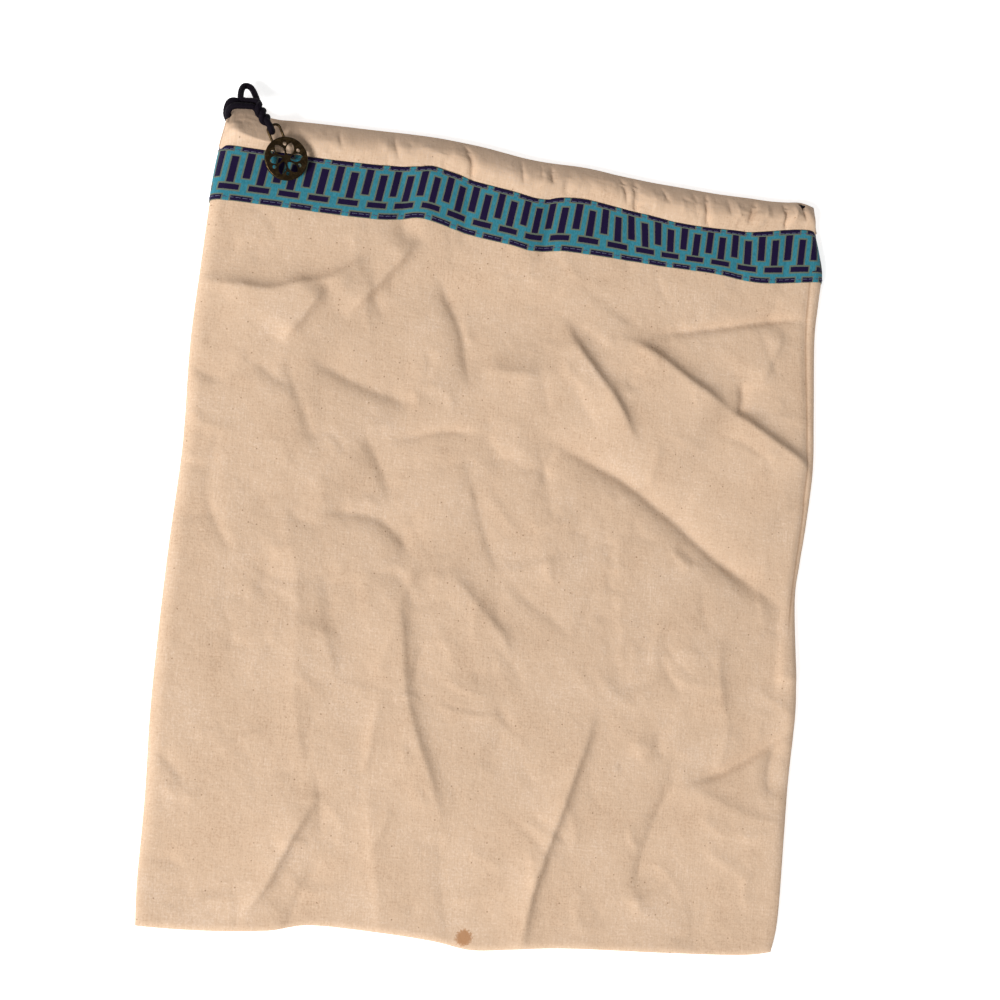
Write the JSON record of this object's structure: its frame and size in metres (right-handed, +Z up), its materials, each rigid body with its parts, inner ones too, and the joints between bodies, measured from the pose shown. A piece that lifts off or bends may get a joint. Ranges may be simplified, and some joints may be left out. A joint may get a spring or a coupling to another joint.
{
  "type": "drawstring shoe bag",
  "caption": "Flat cotton drawstring bag for shoes, with a geometric printed ribbon below the gathered mouth, a dark braided cord and a round openwork metal charm.",
  "frame": {"origin": "middle of the bag's outline, on the surface that it lies on; the cord's tail and the charm are not counted", "axes": "+X across the bag to its right side, +Y from the closed end to the mouth, +Z up out of the front panel"},
  "size_m": [0.3286, 0.4129, 0.0221],
  "materials": {
    "cotton_cloth": "matte",
    "printed_ribbon": "matte",
    "cotton_thread": "matte",
    "ribbon_thread": "matte",
    "braided_cord": "satin",
    "antique_brass": "satin"
  },
  "bodies": {
    "bag": {"front_panel": "cotton_cloth", "back_panel": "cotton_cloth", "front_casing": "cotton_cloth", "back_casing": "cotton_cloth", "left_seam_allowance": "cotton_cloth", "right_seam_allowance": "cotton_cloth", "bottom_seam_allowance": "cotton_cloth", "front_ribbon": "printed_ribbon", "back_ribbon": "printed_ribbon", "left_seam_thread": "cotton_thread", "right_seam_thread": "cotton_thread", "bottom_seam_thread": "cotton_thread", "front_ribbon_top_thread": "ribbon_thread", "front_ribbon_bottom_thread": "ribbon_thread", "back_ribbon_top_thread": "ribbon_thread", "back_ribbon_bottom_thread": "ribbon_thread"},
    "drawstring": {"drawstring_inner": "braided_cord", "drawstring_exit_bend": "braided_cord"},
    "tail": {"drawstring_tail": "braided_cord", "drawstring_knot": "braided_cord", "drawstring_bight": "braided_cord"},
    "charm": {"charm_medallion": "antique_brass", "charm_bail": "antique_brass"}
  },
  "joints": [
    {"name": "drawstring_pull", "type": "slide", "parent": "bag", "child": "drawstring", "axis": [-1, 0, 0], "range_m": [0, 0.14], "deforming": ["front_panel", "back_panel", "front_casing", "back_casing", "left_seam_allowance", "right_seam_allowance", "bottom_seam_allowance", "front_ribbon", "back_ribbon", "left_seam_thread", "right_seam_thread", "bottom_seam_thread", "front_ribbon_top_thread", "front_ribbon_bottom_thread", "back_ribbon_top_thread", "back_ribbon_bottom_thread"]},
    {"name": "tail_swing", "type": "hinge", "parent": "drawstring", "child": "tail", "pos_m": [-0.1555, 0.1965, 0], "axis": [0, 0, 1], "range_deg": [0, 150], "deforming": ["drawstring_exit_bend"]},
    {"name": "charm_lift", "type": "hinge", "parent": "tail", "child": "charm", "pos_m": [-0.1353, 0.1896, 0.0183], "axis": [-0.866, -0.5, 0], "range_deg": [0, 150]}
  ]
}
